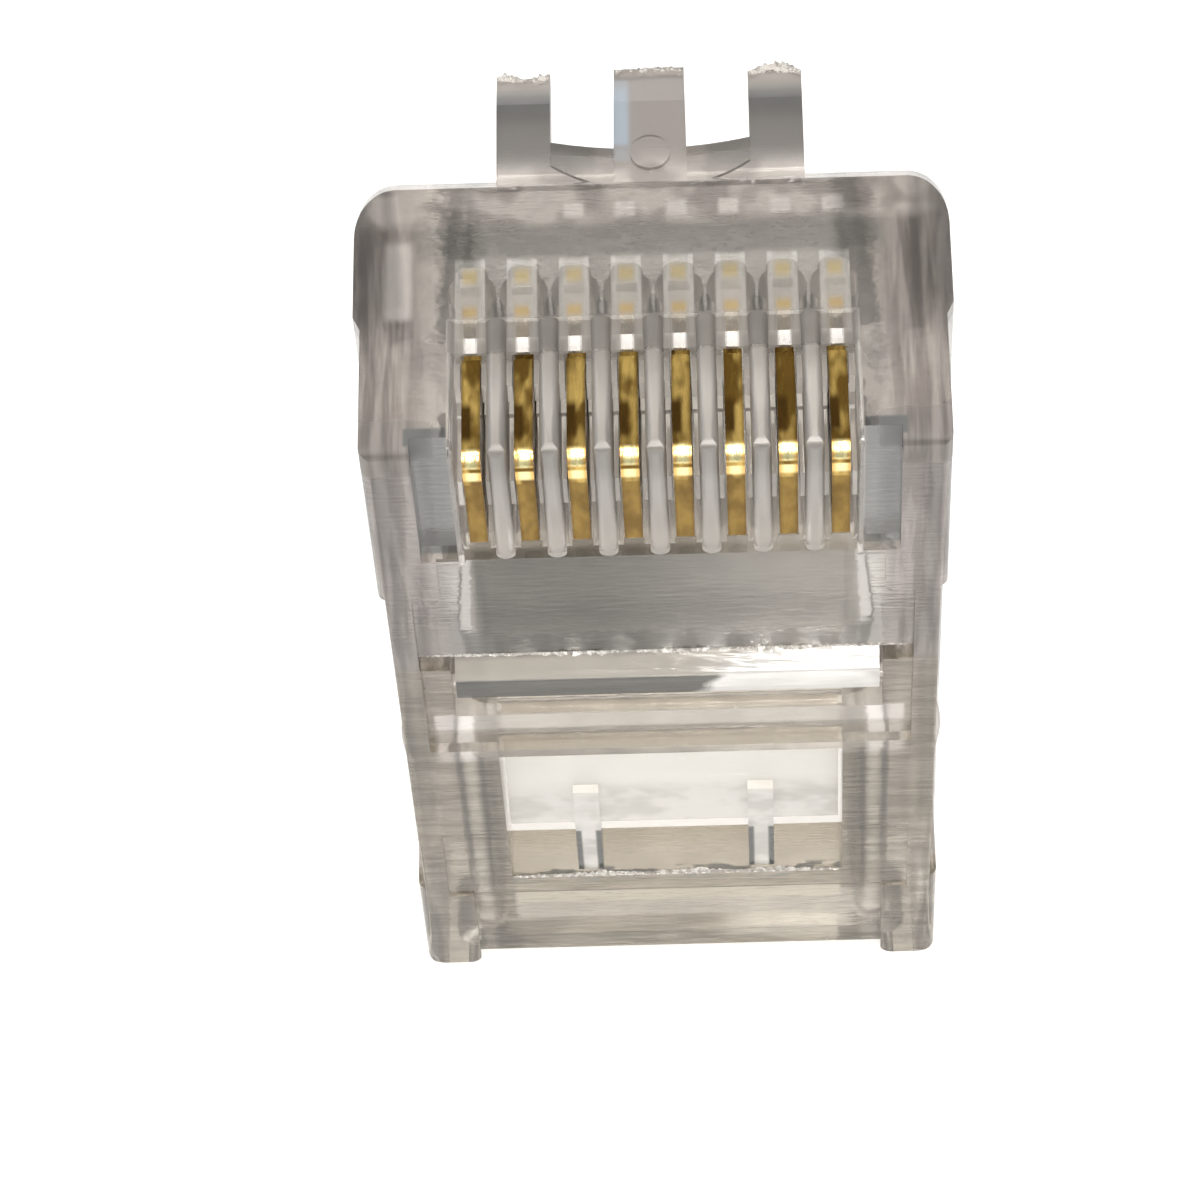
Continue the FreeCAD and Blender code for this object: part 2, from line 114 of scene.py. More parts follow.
# %% Helpers for node graphs
def add(tree, kind, settings=None, **inputs):
    """Adds a node. An input is a value or another node's output."""
    made = tree.nodes.new(kind)
    for name, value in (settings or {}).items():
        setattr(made, name, value)
    for name, value in inputs.items():
        key = int(name[1:]) if name[0] == "i" and name[1:].isdigit() else name.replace("_", " ")
        socket = made.inputs[key]
        if isinstance(value, bpy.types.NodeSocket):
            tree.links.new(value, socket)
        else:
            socket.default_value = value
    return made


def reckon(tree, operation, *terms):
    """A sum of one to three terms, as one Math node."""
    terms = {f"i{index}": term for index, term in enumerate(terms)}
    return add(tree, "ShaderNodeMath", {"operation": operation}, **terms).outputs[0]


def new_material(name):
    made = bpy.data.materials.new(name)
    made.use_nodes = True
    made.node_tree.nodes.clear()
    return made, made.node_tree


def close(tree, shader):
    """Links the finished surface to the material's output."""
    add(tree, "ShaderNodeOutputMaterial", Surface=shader)


def rgba(red, green, blue):
    return (red, green, blue, 1.0)


# %% [markdown]
# The studio is a white table and a soft pale room. The table is a plain
# diffuse white that takes the plug's shadow. Lamps bright enough to turn it
# pure white would wash out the plug, so they stay low, and the table adds a
# little light of its own only towards the camera, mirrors and clear plastic.
# It is not a lamp, so Cycles is told not to aim rays at it.

# %% White table
TABLE_WHITE = 0.82
TABLE_LIFT = 0.3
TABLE_HALF = 0.6


def white_table():
    material, tree = new_material("white_table")
    path = add(tree, "ShaderNodeLightPath").outputs
    seen = reckon(tree, "MAXIMUM", path["Is Camera Ray"], path["Is Glossy Ray"])
    seen = reckon(tree, "MAXIMUM", seen, path["Is Transmission Ray"])
    matt = add(tree, "ShaderNodeBsdfDiffuse", Color=rgba(TABLE_WHITE, TABLE_WHITE, TABLE_WHITE))
    glow = add(tree, "ShaderNodeEmission", Color=rgba(1, 1, 1),
               Strength=reckon(tree, "MULTIPLY", seen, TABLE_LIFT))
    close(tree, add(tree, "ShaderNodeAddShader", i0=matt.outputs[0], i1=glow.outputs[0]).outputs[0])
    material.cycles.emission_sampling = "NONE"
    return material


corners = [(x * TABLE_HALF, y * TABLE_HALF, low.z) for x, y in ((-1, -1), (1, -1), (1, 1), (-1, 1))]
table_mesh = bpy.data.meshes.new("table")
table_mesh.from_pydata(corners, [], [(0, 1, 2, 3)])
table = bpy.data.objects.new("table", table_mesh)
table.data.materials.append(white_table())
bpy.context.scene.collection.objects.link(table)
print("table is", 2 * TABLE_HALF, "m across")

# %% [markdown]
# Clear plastic is drawn by what it bends and mirrors, so the room matters as
# much as the lamps. The room is pale above and greyer towards the horizon:
# faces that look up shine, and edges that catch the horizon go dark and draw
# the outline of the part.

# %% Room
ROOM_TONES = ((0.0, rgba(0.32, 0.33, 0.35)), (0.9, rgba(0.72, 0.71, 0.70)))

world = bpy.data.worlds.new("soft_room")
bpy.context.scene.world = world
world.use_nodes = True
room = world.node_tree
room.nodes.clear()
direction = add(room, "ShaderNodeTexCoord").outputs["Generated"]
height = add(room, "ShaderNodeSeparateXYZ", Vector=direction).outputs["Z"]
ramp = add(room, "ShaderNodeValToRGB", Fac=height)
for element, (place, tone) in zip(ramp.color_ramp.elements, ROOM_TONES):
    element.position = place
    element.color = tone
sky = add(room, "ShaderNodeBackground", Color=ramp.outputs["Color"], Strength=1.0)
add(room, "ShaderNodeOutputWorld", Surface=sky.outputs[0])
print("room goes from", ROOM_TONES[0][1][:3], "to", ROOM_TONES[1][1][:3])

# %% [markdown]
# Each lamp has one job. The key lamp stands where the slope in front of the
# wire bar mirrors it, the top lamp where the slots' ramps do, and the fill
# lamp warms the left wall. The back lamp is large and dim: it shines through
# the plastic from behind and lights the blades' front edges, and a small one
# would burn out on the nose when the plug is seen from another side.

# %% Lamps
LAMPS = (  # name, metres away, azimuth, elevation, size in metres, watts, colour
    ("key_lamp", 0.30, 10.9, 54.0, (0.072, 0.105), 0.38, (1.0, 0.97, 0.92)),
    ("top_lamp", 0.30, 0.0, 80.0, (0.06, 0.06), 0.16, (1.0, 0.97, 0.93)),
    ("fill_lamp", 0.32, -70.0, 30.0, (0.10, 0.16), 0.16, (1.0, 0.96, 0.93)),
    ("back_lamp", 0.30, 205.0, 28.0, (0.26, 0.20), 0.34, (0.97, 0.98, 1.0)),
)


def from_middle(distance, azimuth, elevation):
    """A place that far off. Azimuth 0 is the contact side, 90 the right side."""
    flat = distance * math.cos(math.radians(elevation))
    return middle + Vector((flat * math.sin(math.radians(azimuth)),
                            -flat * math.cos(math.radians(azimuth)),
                            distance * math.sin(math.radians(elevation))))


for name, distance, azimuth, elevation, size, watts, colour in LAMPS:
    lamp = bpy.data.lights.new(name, "AREA")
    lamp.shape = "RECTANGLE"
    lamp.size, lamp.size_y = size
    lamp.energy = watts
    lamp.color = colour
    hung = bpy.data.objects.new(name, lamp)
    hung.location = from_middle(distance, azimuth, elevation)
    hung.rotation_euler = (middle - hung.location).to_track_quat("-Z", "Y").to_euler()
    bpy.context.scene.collection.objects.link(hung)
    print(name, "gives", watts, "W from", distance, "m")

# %% [markdown]
# The housing and both bars are clear polycarbonate. A shader with full
# transmission bends light as the real plastic does, with its high index of
# 1.58. Lamp light would be stopped by such a shader, so a lamp's own rays get
# a pale see-through surface, and the plug throws a pale shadow.

# %% Helper for clear plastic
POLYCARBONATE_IOR = 1.58


def let_lamps_through(tree, shader, passed):
    """Lamp rays meet a tint called passed. All other rays meet the shader."""
    path = add(tree, "ShaderNodeLightPath")
    veil = add(tree, "ShaderNodeBsdfTransparent", Color=rgba(*passed))
    return add(tree, "ShaderNodeMixShader", i0=path.outputs["Is Shadow Ray"], i1=shader,
               i2=veil.outputs[0]).outputs[0]


# %% [markdown]
# A moulding changes from place to place, so the materials need to know where
# a surface point is. It is turned into plain measures in millimetres: to the
# side or across from the middle, deep from the contact face, and back from
# the nose. Masks and noise are made from these, and they stay with the plug
# whichever way it is turned.

# %% Helpers for places on the plug
def plug_places(tree):
    """Millimetres: side to side, across, deep and back, and all of them as one vector."""
    point = add(tree, "ShaderNodeTexCoord").outputs["Object"]
    measured = add(tree, "ShaderNodeMapping", Vector=point)
    measured.inputs["Location"].default_value = (0.0, -contact_y / MM, nose_z / MM)
    measured.inputs["Scale"].default_value = (1 / MM, 1 / MM, -1 / MM)
    split = add(tree, "ShaderNodeSeparateXYZ", Vector=measured.outputs[0]).outputs
    return {"side": split["X"], "across": reckon(tree, "ABSOLUTE", split["X"]),
            "deep": split["Y"], "back": split["Z"], "point": measured.outputs[0]}


def between(tree, value, start, end, first=0.0, last=1.0):
    """Runs smoothly from first to last while value goes from start to end."""
    made = add(tree, "ShaderNodeMapRange", {"interpolation_type": "SMOOTHSTEP"}, Value=value)
    for socket, number in (("From Min", start), ("From Max", end), ("To Min", first),
                           ("To Max", last)):
        made.inputs[socket].default_value = number
    return made.outputs[0]


def stretch(tree, places, soft, **limits):
    """A mask of a stretch of the plug, such as across=(4.4, 6.0), with soft ends."""
    share = None
    for name, (start, end) in limits.items():
        for edge, sign in ((start, 1.0), (end, -1.0)):
            if edge is None:
                continue
            part = between(tree, places[name], edge - sign * soft, edge + sign * soft)
            share = part if share is None else reckon(tree, "MULTIPLY", share, part)
    return share


def from_slot(tree, places):
    """Millimetres to the side from the middle of the nearest slot, with its sign."""
    turn = reckon(tree, "WRAP", places["side"], pitch, 0.0)
    return reckon(tree, "SUBTRACT", turn, pitch / 2)


# %% [markdown]
# Molten plastic leaves streaks where it flowed, and a stamped edge has fine
# lines along the punch. Both are noise that is drawn out in one direction.
# Two colours are then mixed by such noise or by a mask.

# %% Helpers for noise and mixing
NOISE_ROUGHNESS = 0.6
STREAK_DETAIL = 2.0


def streaks(tree, places, scale):
    """Noise drawn out along one direction: the larger a scale, the finer that way."""
    drawn = add(tree, "ShaderNodeMapping", Vector=places["point"])
    drawn.inputs["Scale"].default_value = scale
    return add(tree, "ShaderNodeTexNoise", Vector=drawn.outputs[0], Scale=1.0, Detail=STREAK_DETAIL,
               Roughness=NOISE_ROUGHNESS).outputs["Fac"]


def mix_colour(tree, share, first, second):
    return add(tree, "ShaderNodeMix", {"data_type": "RGBA"}, i0=share, i6=first,
               i7=second).outputs[2]


def mix_number(tree, share, first, second):
    return add(tree, "ShaderNodeMix", {"data_type": "FLOAT"}, i0=share, i2=first,
               i3=second).outputs[0]


# %% [markdown]
# The real housing is not evenly clear. Its side walls are frosted and faintly
# mauve, the comb between the blades is milky, the nose wall is clear, so that
# the blades shine through it, and the panel behind the comb is grey. One
# material holds all of this, as one moulding does. This table says where each
# stretch lies: how soft its ends are, and its limits in millimetres.

# %% Stretches of the housing
HOUSING_STRETCHES = {
    "sides": (0.35, {"across": (4.55, None)}),
    "flanks": (0.06, {"across": (5.52, None), "deep": (0.5, None), "back": (0.45, None)}),
    # painted highlight: a pale band on the left of the nose face
    "flare": (0.12, {"side": (-5.2, -4.7), "deep": (3.1, 4.9), "back": (None, 0.4)}),
    "hem": (0.15, {"across": (4.3, None), "deep": (None, 0.75), "back": (None, 0.75)}),
    # the nose face, from the contact side to the latch side
    "comb": (0.08, {"across": (None, 3.95), "deep": (None, 2.3), "back": (None, 4.1)}),
    # painted shade: the dark blue-grey inner faces of the two side pockets
    "steps": (0.04, {"across": (4.02, 4.84), "deep": (0.2, 0.6), "back": (None, 4.1)}),
    "ramps": (0.05, {"across": (None, 4.0), "deep": (2.35, 3.1), "back": (None, 0.36)}),
    "ledge": (0.08, {"across": (None, 4.2), "deep": (2.3, 4.45), "back": (None, 0.12)}),
    # painted shade: a dark band across the nose, where the hollow behind shows through
    "crown": (0.15, {"across": (None, 4.6), "deep": (4.5, 5.35), "back": (None, 0.3)}),
    "brow": (0.2, {"deep": (5.3, 6.9), "back": (None, 0.3)}),
    "edge": (0.1, {"across": (2.7, 5.3), "deep": (6.2, 6.7), "back": (None, 0.3)}),
    "legs": (0.35, {"deep": (6.95, None), "back": (None, 2.4)}),
    # painted highlight: a bluish strip down the left face of the middle leg
    "blue": (0.08, {"side": (-0.9, -0.42), "deep": (7.3, 9.0), "back": (None, 2.4)}),
    # the contact side, from the comb to the rear end, and the wall behind it
    "panel": (0.1, {"across": (None, 4.5), "deep": (None, 0.4), "back": (4.1, 8.0)}),
    "margin": (0.1, {"side": (None, -3.75)}),
    "rear": (0.3, {"deep": (None, 0.5), "back": (8.2, None)}),
    "shelf": (0.05, {"across": (None, 4.9), "deep": (None, 1.25), "back": (10.5, 11.15)}),
    "dusk": (0.1, {"across": (None, 4.9), "deep": (None, 0.5), "back": (11.15, 12.1)}),
    "sill": (0.06, {"across": (None, 3.6), "deep": (0.12, 1.4), "back": (17.3, 19.6)}),
    "lip": (0.05, {"across": (None, 3.6), "deep": (None, 0.26), "back": (17.35, 17.8)}),
    "gleam": (0.5, {"side": (1.2, 4.2), "deep": (None, 0.3), "back": (18.7, 20.4)}),
    "back_wall": (0.2, {"across": (None, 4.5), "deep": (6.3, None), "back": (8.5, None)}),
}
print("the housing has", len(HOUSING_STRETCHES), "stretches")


def housing_masks(tree, places):
    return {name: stretch(tree, places, soft, **limits)
            for name, (soft, limits) in HOUSING_STRETCHES.items()}


# %% [markdown]
# Behind the nose face each blade shows through a small window: a pale frame, a
# clear middle, and two warm spots where the gold is mirrored in the plastic.
# Above the windows some slots throw a small bright glint. They all repeat with
# the slots, so their masks are made from the distance to the nearest slot.

# %% Windows in the nose face
WINDOW_EDGE = (0.27, 0.31)      # these five fade over a range of the distance to the slot
FRAME_START = (0.17, 0.22)
SPOT_EDGE = (0.08, 0.2)
GLINT_EDGE = (0.14, 0.26)
RAMP_SHINE_EDGE = (0.08, 0.2)
SPOTS = ((3.92, 4.22), (3.12, 3.36))
GLINTS = {"side": (-1.9, 3.9), "deep": (5.42, 5.78), "back": (None, 0.1)}


def add_windows(tree, places, masks, beside):
    """Adds the masks of what repeats at each slot. beside is the distance to its middle."""
    window = reckon(tree, "MULTIPLY", masks["ledge"], between(tree, beside, *WINDOW_EDGE, 1.0, 0.0))
    spots = reckon(tree, "ADD", *(stretch(tree, places, 0.12, deep=deep) for deep in SPOTS))
    spots = reckon(tree, "MULTIPLY", spots, between(tree, beside, *SPOT_EDGE, 1.0, 0.0))
    masks["window"] = window
    masks["window_frame"] = reckon(tree, "MULTIPLY", window, between(tree, beside, *FRAME_START))
    masks["spots"] = reckon(tree, "MULTIPLY", spots, masks["ledge"])
    masks["glints"] = reckon(tree, "MULTIPLY", between(tree, beside, *GLINT_EDGE, 1.0, 0.0),
                             stretch(tree, places, 0.08, **GLINTS))


# %% [markdown]
# A tint on the shader colours what is seen through the plastic, so thick and cloudy stretches get a
# darker tint than thin clear ones. Some stretches have a tint that varies: streaks on the side walls,
# a slow change across the panel and flow lines at the rear. The light and dark bands across the legs
# are painted reflections, standing in for the room mirrored in the legs.

# %% Tints that vary
# Painted reflections: light and dark bands up the legs, from their root to their top.
LEG_REFLECTION_BANDS_DEEP = (6.9, 9.4)
LEG_REFLECTION_BANDS = ((0.0, rgba(0.19, 0.178, 0.166)), (0.30, rgba(0.18, 0.166, 0.153)),
             (0.62, rgba(0.09, 0.089, 0.087)), (0.74, rgba(0.13, 0.127, 0.118)),
             (0.86, rgba(0.28, 0.255, 0.23)), (1.0, rgba(0.38, 0.345, 0.31)))


def painted_leg_reflections(tree, places):
    reflection_bands = add(tree, "ShaderNodeValToRGB", Fac=between(tree, places["deep"], *LEG_REFLECTION_BANDS_DEEP))
    elements = reflection_bands.color_ramp.elements
    for place, _ in LEG_REFLECTION_BANDS[1:-1]:
        elements.new(place)
    for element, (_, tone) in zip(elements, LEG_REFLECTION_BANDS):
        element.color = tone
    middle_leg = stretch(tree, places, 0.1, across=(None, 1.1))
    return mix_colour(tree, middle_leg, reflection_bands.outputs["Color"], rgba(0.30, 0.27, 0.25))


def varied_tints(tree, places, masks, clouds):
    """Tints of the stretches that are not of one colour."""
    upright = streaks(tree, places, (4.2, 0.35, 0.30))
    flow = streaks(tree, places, (0.5, 4.0, 4.0))
    panel = mix_colour(tree, between(tree, places["side"], -1.6, 3.4),
                       rgba(0.085, 0.081, 0.069), rgba(0.46, 0.44, 0.40))
    return {
        "sides": mix_colour(tree, between(tree, upright, 0.38, 0.64),
                            rgba(0.17, 0.144, 0.134), rgba(0.44, 0.395, 0.37)),
        "brow": mix_colour(tree, between(tree, clouds, 0.42, 0.6),
                           rgba(0.38, 0.345, 0.32), rgba(0.78, 0.72, 0.67)),
        "comb": mix_colour(tree, between(tree, places["back"], 0.5, 1.5),
                           rgba(0.80, 0.765, 0.72), rgba(1.0, 0.955, 0.89)),
        "spots": mix_colour(tree, between(tree, places["deep"], 3.5, 3.8),
                            rgba(1.0, 0.69, 0.25), rgba(1.0, 0.80, 0.38)),
        "panel": mix_colour(tree, masks["margin"], panel, rgba(0.34, 0.32, 0.295)),
        "rear": mix_colour(tree, between(tree, flow, 0.38, 0.62),
                           rgba(0.165, 0.142, 0.10), rgba(0.33, 0.29, 0.225)),
        # painted reflections on the legs
        "legs": painted_leg_reflections(tree, places),
    }


# %% [markdown]
# The tints are laid over each other in order, as coats of varnish would be,
# and a later one covers an earlier one where their stretches overlap. Where
# the list gives no colour, the tint is one of those that vary.

# %% Tint of the housing
CLOUD_TINTS = (rgba(0.40, 0.375, 0.345), rgba(0.52, 0.49, 0.45))
TINT_ORDER = (
    # the dark crown tint is painted shade
    ("sides", None), ("crown", rgba(0.27, 0.262, 0.24)), ("brow", None),
    # the pale band on the left of the nose face is a painted highlight
    ("edge", rgba(0.80, 0.74, 0.70)), ("flare", rgba(0.92, 0.86, 0.82)),
    ("glints", rgba(1.0, 0.95, 0.90)), ("comb", None), ("window", rgba(0.86, 0.83, 0.78)),
    ("window_frame", rgba(1.0, 0.98, 0.94)), ("spots", None),
    # the dark steps tint is painted shade in the side pockets
    ("steps", rgba(0.12, 0.13, 0.135)), ("back_wall", rgba(0.88, 0.86, 0.82)),
    ("flanks", rgba(0.90, 0.87, 0.84)), ("panel", None), ("rear", None),
    ("shelf", rgba(0.93, 0.89, 0.83)), ("dusk", rgba(0.58, 0.54, 0.48)),
    ("gleam", rgba(0.92, 0.86, 0.75)), ("sill", rgba(0.71, 0.66, 0.57)),
    # the blue tint is a painted highlight on the middle leg
    ("lip_specks", rgba(0.16, 0.165, 0.16)), ("legs", None), ("blue", rgba(0.36, 0.41, 0.46)))


def housing_tint(tree, places, masks, clouds):
    specks = between(tree, streaks(tree, places, (1.6, 5.0, 5.0)), 0.5, 0.56)
    # dark specks along the lip at the rear of the jacket bar's window
    masks["lip_specks"] = reckon(tree, "MULTIPLY", specks, masks["lip"])
    varied = varied_tints(tree, places, masks, clouds)
    colour = mix_colour(tree, between(tree, clouds, 0.35, 0.65), *CLOUD_TINTS)
    for name, tint in TINT_ORDER:
        colour = mix_colour(tree, masks[name], colour, tint or varied[name])
    return colour


# %% [markdown]
# Polish varies as well. The mould was polished at the windows and on the
# flanks, matt on the side walls and the comb, and coarse along the hem. A
# rough clear surface blurs what is seen through it, as frosted glass does.

# %% Polish of the housing
POLISH_ORDER = (("sides", 0.18), ("comb", 0.30), ("legs", 0.3), ("rear", 0.12), ("hem", 0.5),
                ("flanks", 0.06))


def housing_polish(tree, masks, clouds, beside):
    rough = between(tree, clouds, 0.3, 0.7, 0.03, 0.08)
    for name, value in POLISH_ORDER:
        rough = mix_number(tree, masks[name], rough, value)
    return mix_number(tree, masks["ramps"], rough, between(tree, beside, *RAMP_SHINE_EDGE, 0.10, 0.55))


# %% [markdown]
# Tint and polish meet in one surface. A share of it is milky, and the rest
# bends light. Streaks a few hundredths of a millimetre high in the bump break
# up the reflections, as the marks of the mould do.

# %% Housing plastic
def clear_skin(tree, places, tint, rough, clear, scale, strength, height):
    """The plastic itself. clear is the share that isn't milky, height is in millimetres."""
    bump = add(tree, "ShaderNodeBump", Height=streaks(tree, places, scale), Strength=strength,
               Distance=height * MM)
    return add(tree, "ShaderNodeBsdfPrincipled", Base_Color=tint, Roughness=rough,
               IOR=POLYCARBONATE_IOR, Transmission_Weight=clear, Normal=bump.outputs[0]).outputs[0]


def housing_plastic():
    material, tree = new_material("clear_polycarbonate")
    places = plug_places(tree)
    clouds = add(tree, "ShaderNodeTexNoise", Vector=places["point"], Scale=1.1, Detail=1.0,
                 Roughness=NOISE_ROUGHNESS).outputs["Fac"]
    beside = reckon(tree, "ABSOLUTE", from_slot(tree, places))
    masks = housing_masks(tree, places)
    add_windows(tree, places, masks, beside)
    skin = clear_skin(tree, places, tint=housing_tint(tree, places, masks, clouds),
                      rough=housing_polish(tree, masks, clouds, beside), clear=0.84,
                      scale=(1.6, 2.5, 9.0), strength=0.22, height=0.05)
    close(tree, let_lamps_through(tree, skin, (0.80, 0.78, 0.75)))
    return material


# %% [markdown]
# Both crimp bars are moulded with the housing from the same plastic, and they hang on a thin film
# until the crimp tool drives them in. The wire bar has a slope, a flat with painted shade, and a rear
# face, and a painted highlight turns its right side white. The jacket bar is a thin pale plate with a
# tooth inside, and two small ties hold it up. Its white hinge end is a painted highlight, and the dark
# sides of the ties are painted shade. Their tints follow the distance from the nose, with noise to
# make the limits ragged.

# %% Tints of the two bars
WIRE_FLAT = (9.46, 10.2)
WIRE_REAR = (10.22, None)
HIGHLIGHT_PAST = (7.3, 7.6)     # of a slant that runs to the side as it runs back
JACKET_GREY_PAST = (13.6, 14.4)
TIE_MIDDLE = 1.87
TIE_SIDES = (0.12, 0.19)    # from the middle of a tie
TIE_FREE = (15.6, None)


def wire_bar_tint(tree, places, clouds):
    """Grey slope, a dark flat of painted shade, pale rear, and all of it white on the right behind a
    ragged slant, as a painted highlight.
    """
    flat = stretch(tree, places, 0.04, back=WIRE_FLAT)
    rear = stretch(tree, places, 0.04, back=WIRE_REAR)
    # painted shade: the flat is nearly black
    colour = mix_colour(tree, flat, rgba(0.66, 0.64, 0.60), rgba(0.045, 0.045, 0.04))
    colour = mix_colour(tree, rear, colour, rgba(0.98, 0.95, 0.90))
    slant = reckon(tree, "MULTIPLY_ADD", places["back"], 0.6, places["side"])
    ragged = reckon(tree, "MULTIPLY_ADD", clouds, 1.2, slant)
    # painted highlight: white on the right, behind a ragged slant
    return mix_colour(tree, between(tree, ragged, *HIGHLIGHT_PAST), colour, rgba(1.0, 1.0, 1.0))


def jacket_bar_tint(tree, places, clouds):
    """White at the hinge as a painted highlight, pale grey in clouds towards the free end, and ties
    with painted shade on their sides.
    """
    grey = mix_colour(tree, between(tree, clouds, 0.38, 0.6), rgba(0.70, 0.68, 0.645),
                      rgba(0.88, 0.86, 0.825))
    # painted highlight: white at the hinge end, fading to grey
    colour = mix_colour(tree, between(tree, places["back"], *JACKET_GREY_PAST),
                        rgba(1.0, 0.985, 0.935), grey)
    from_tie = reckon(tree, "ABSOLUTE", reckon(tree, "SUBTRACT", places["across"], TIE_MIDDLE))
    # painted shade on both sides of each tie
    tie_side_shade = reckon(tree, "MULTIPLY", between(tree, from_tie, *TIE_SIDES),
                       stretch(tree, places, 0.05, back=TIE_FREE))
    return mix_colour(tree, tie_side_shade, colour, rgba(0.15, 0.155, 0.15))


# %% [markdown]
# The plastic of a bar is the housing's, but milkier, since light is scattered
# between the bar's close walls. One recipe serves both bars: it is handed the
# function that gives the tint, the range of the polish, how clear the plastic
# is, and the tint that lamp light gets as it passes.

# %% Bar plastic
def bar_plastic(name, tint_of, roughness, clear, passed):
    """tint_of(tree, places, clouds) gives the bar's tint."""
    material, tree = new_material(name)
    places = plug_places(tree)
    clouds = streaks(tree, places, (0.9, 1.4, 1.4))
    skin = clear_skin(tree, places, tint=tint_of(tree, places, clouds),
                      rough=between(tree, clouds, 0.3, 0.7, *roughness), clear=clear,
                      scale=(0.9, 6.0, 6.0), strength=0.25, height=0.04)
    close(tree, let_lamps_through(tree, skin, passed))
    return material


# %% [markdown]
# The contacts are stamped from a copper alloy strip and plated with gold over nickel. The crown of
# each blade, which meets the jack, has the thickest gold, and its brightness is partly a painted
# highlight, crossed by a fine line of painted shade. The rest of the edge is duller, brown shows
# through in patches where the plating is thin, and the edge is darker along its long sides. A band on
# the left half of each front face is painted shade.

# %% Colour of the gold
LEFT_SHADE_STRETCH = {"deep": (0.55, 1.35)}
CROWN_HIGHLIGHT_STRETCH = {"deep": (None, 0.32), "back": (None, 1.0)}
HIGHLIGHT_GAP_STRETCH = {"back": (0.62, 0.72)}


def gold_colour(tree, places):
    patches = streaks(tree, places, (1.9, 0.95, 0.95))
    front = mix_colour(tree, between(tree, patches, 0.40, 0.58), rgba(0.17, 0.096, 0.020),
                       rgba(0.62, 0.425, 0.125))
    heel = mix_colour(tree, between(tree, patches, 0.34, 0.66), rgba(0.17, 0.099, 0.018),
                      rgba(0.29, 0.185, 0.042))
    colour = mix_colour(tree, between(tree, places["back"], 1.0, 1.3), front, heel)
    side = from_slot(tree, places)
    beside = reckon(tree, "ABSOLUTE", side)
    # darker along the long edges of each blade
    long_edge_darkening = reckon(tree, "MULTIPLY", between(tree, beside, 0.10, 0.18), 0.55)
    colour = mix_colour(tree, long_edge_darkening, colour, rgba(0.12, 0.066, 0.016))
    # painted shade: a dark band on the left half of each blade's front face
    left_shade = reckon(tree, "MULTIPLY", between(tree, side, -0.04, 0.06, 1.0, 0.0),
                   stretch(tree, places, 0.12, **LEFT_SHADE_STRETCH))
    colour = mix_colour(tree, left_shade, colour, rgba(0.085, 0.045, 0.010))
    # painted shade: a thin dark line across the crown, between two painted highlights
    highlight_gap = stretch(tree, places, 0.03, **HIGHLIGHT_GAP_STRETCH)
    crown = reckon(tree, "MULTIPLY", stretch(tree, places, 0.06, **CROWN_HIGHLIGHT_STRETCH),
                   reckon(tree, "SUBTRACT", 1.0, highlight_gap))
    # painted highlight on the crown, fading towards the blade's long edges; the crown's thicker
    # plating is part of its brightness
    shine = mix_colour(tree, between(tree, beside, 0.05, 0.17), rgba(1.0, 0.90, 0.46),
                       rgba(0.80, 0.50, 0.16))
    return mix_colour(tree, crown, colour, shine)


# %% [markdown]
# Gold needs no more than a metallic surface with the right colour. What makes
# it look stamped is the shearing: fine lines in the direction of the punch,
# which drive both the bump and the roughness.

# %% Gold-plated contact
def gold_plate():
    material, tree = new_material("gold_plated_contact")
    places = plug_places(tree)
    lines = streaks(tree, places, (7.0, 1.6, 1.6))
    grain = add(tree, "ShaderNodeBump", Height=lines, Strength=0.5, Distance=0.04 * MM)
    gold = add(tree, "ShaderNodeBsdfPrincipled", Base_Color=gold_colour(tree, places), Metallic=1.0,
               Roughness=between(tree, lines, 0.3, 0.7, 0.18, 0.34), Normal=grain.outputs[0])
    close(tree, gold.outputs[0])
    return material


# %% [markdown]
# The CAD nodes keep their shapes and places and only receive their finishes.
# All eight contacts share one material, as they come off one strip.

# %% Put the finishes on the CAD nodes
def finish_node(name, material):
    mesh = nodes[name].data
    mesh.materials.clear()
    mesh.materials.append(material)
    print(name, "->", material.name)


finish_node("housing", housing_plastic())
finish_node("wire_bar", bar_plastic(
    "clear_wire_bar", wire_bar_tint, roughness=(0.03, 0.10), clear=0.6, passed=(0.88, 0.86, 0.83)))
finish_node("jacket_bar", bar_plastic(
    "clear_jacket_bar", jacket_bar_tint, roughness=(0.10, 0.14), clear=0.4,
    passed=(0.97, 0.96, 0.94)))
contact_gold = gold_plate()
for name in sorted(nodes):
    if name.startswith("contact_"):
        finish_node(name, contact_gold)

# %% [markdown]
# Polycarbonate turns white and crumbly where it tears, because every small
# crack scatters light. So the torn plastic is far less clear than the rest,
# with fine specks in its tint and its polish.

# %% Torn plastic
def torn_plastic():
    material, tree = new_material("torn_polycarbonate")
    places = plug_places(tree)
    specks = streaks(tree, places, (9.0, 9.0, 9.0))
    colour = mix_colour(tree, between(tree, specks, 0.35, 0.6), rgba(0.50, 0.47, 0.43),
                        rgba(1.0, 0.97, 0.92))
    plastic = add(tree, "ShaderNodeBsdfPrincipled", Base_Color=colour,
                  Roughness=between(tree, specks, 0.3, 0.7, 0.08, 0.35), IOR=POLYCARBONATE_IOR,
                  Transmission_Weight=0.55)
    close(tree, let_lamps_through(tree, plastic.outputs[0], (0.85, 0.83, 0.80)))
    return material


torn = torn_plastic()
print("added", torn.name)

# %% [markdown]
# The ragged pieces are all long and thin, so each is built as one closed
# strip: a row of small rings of points, every ring joined to the next, with a
# cap at both ends. The piece then rides on the housing wherever that goes.

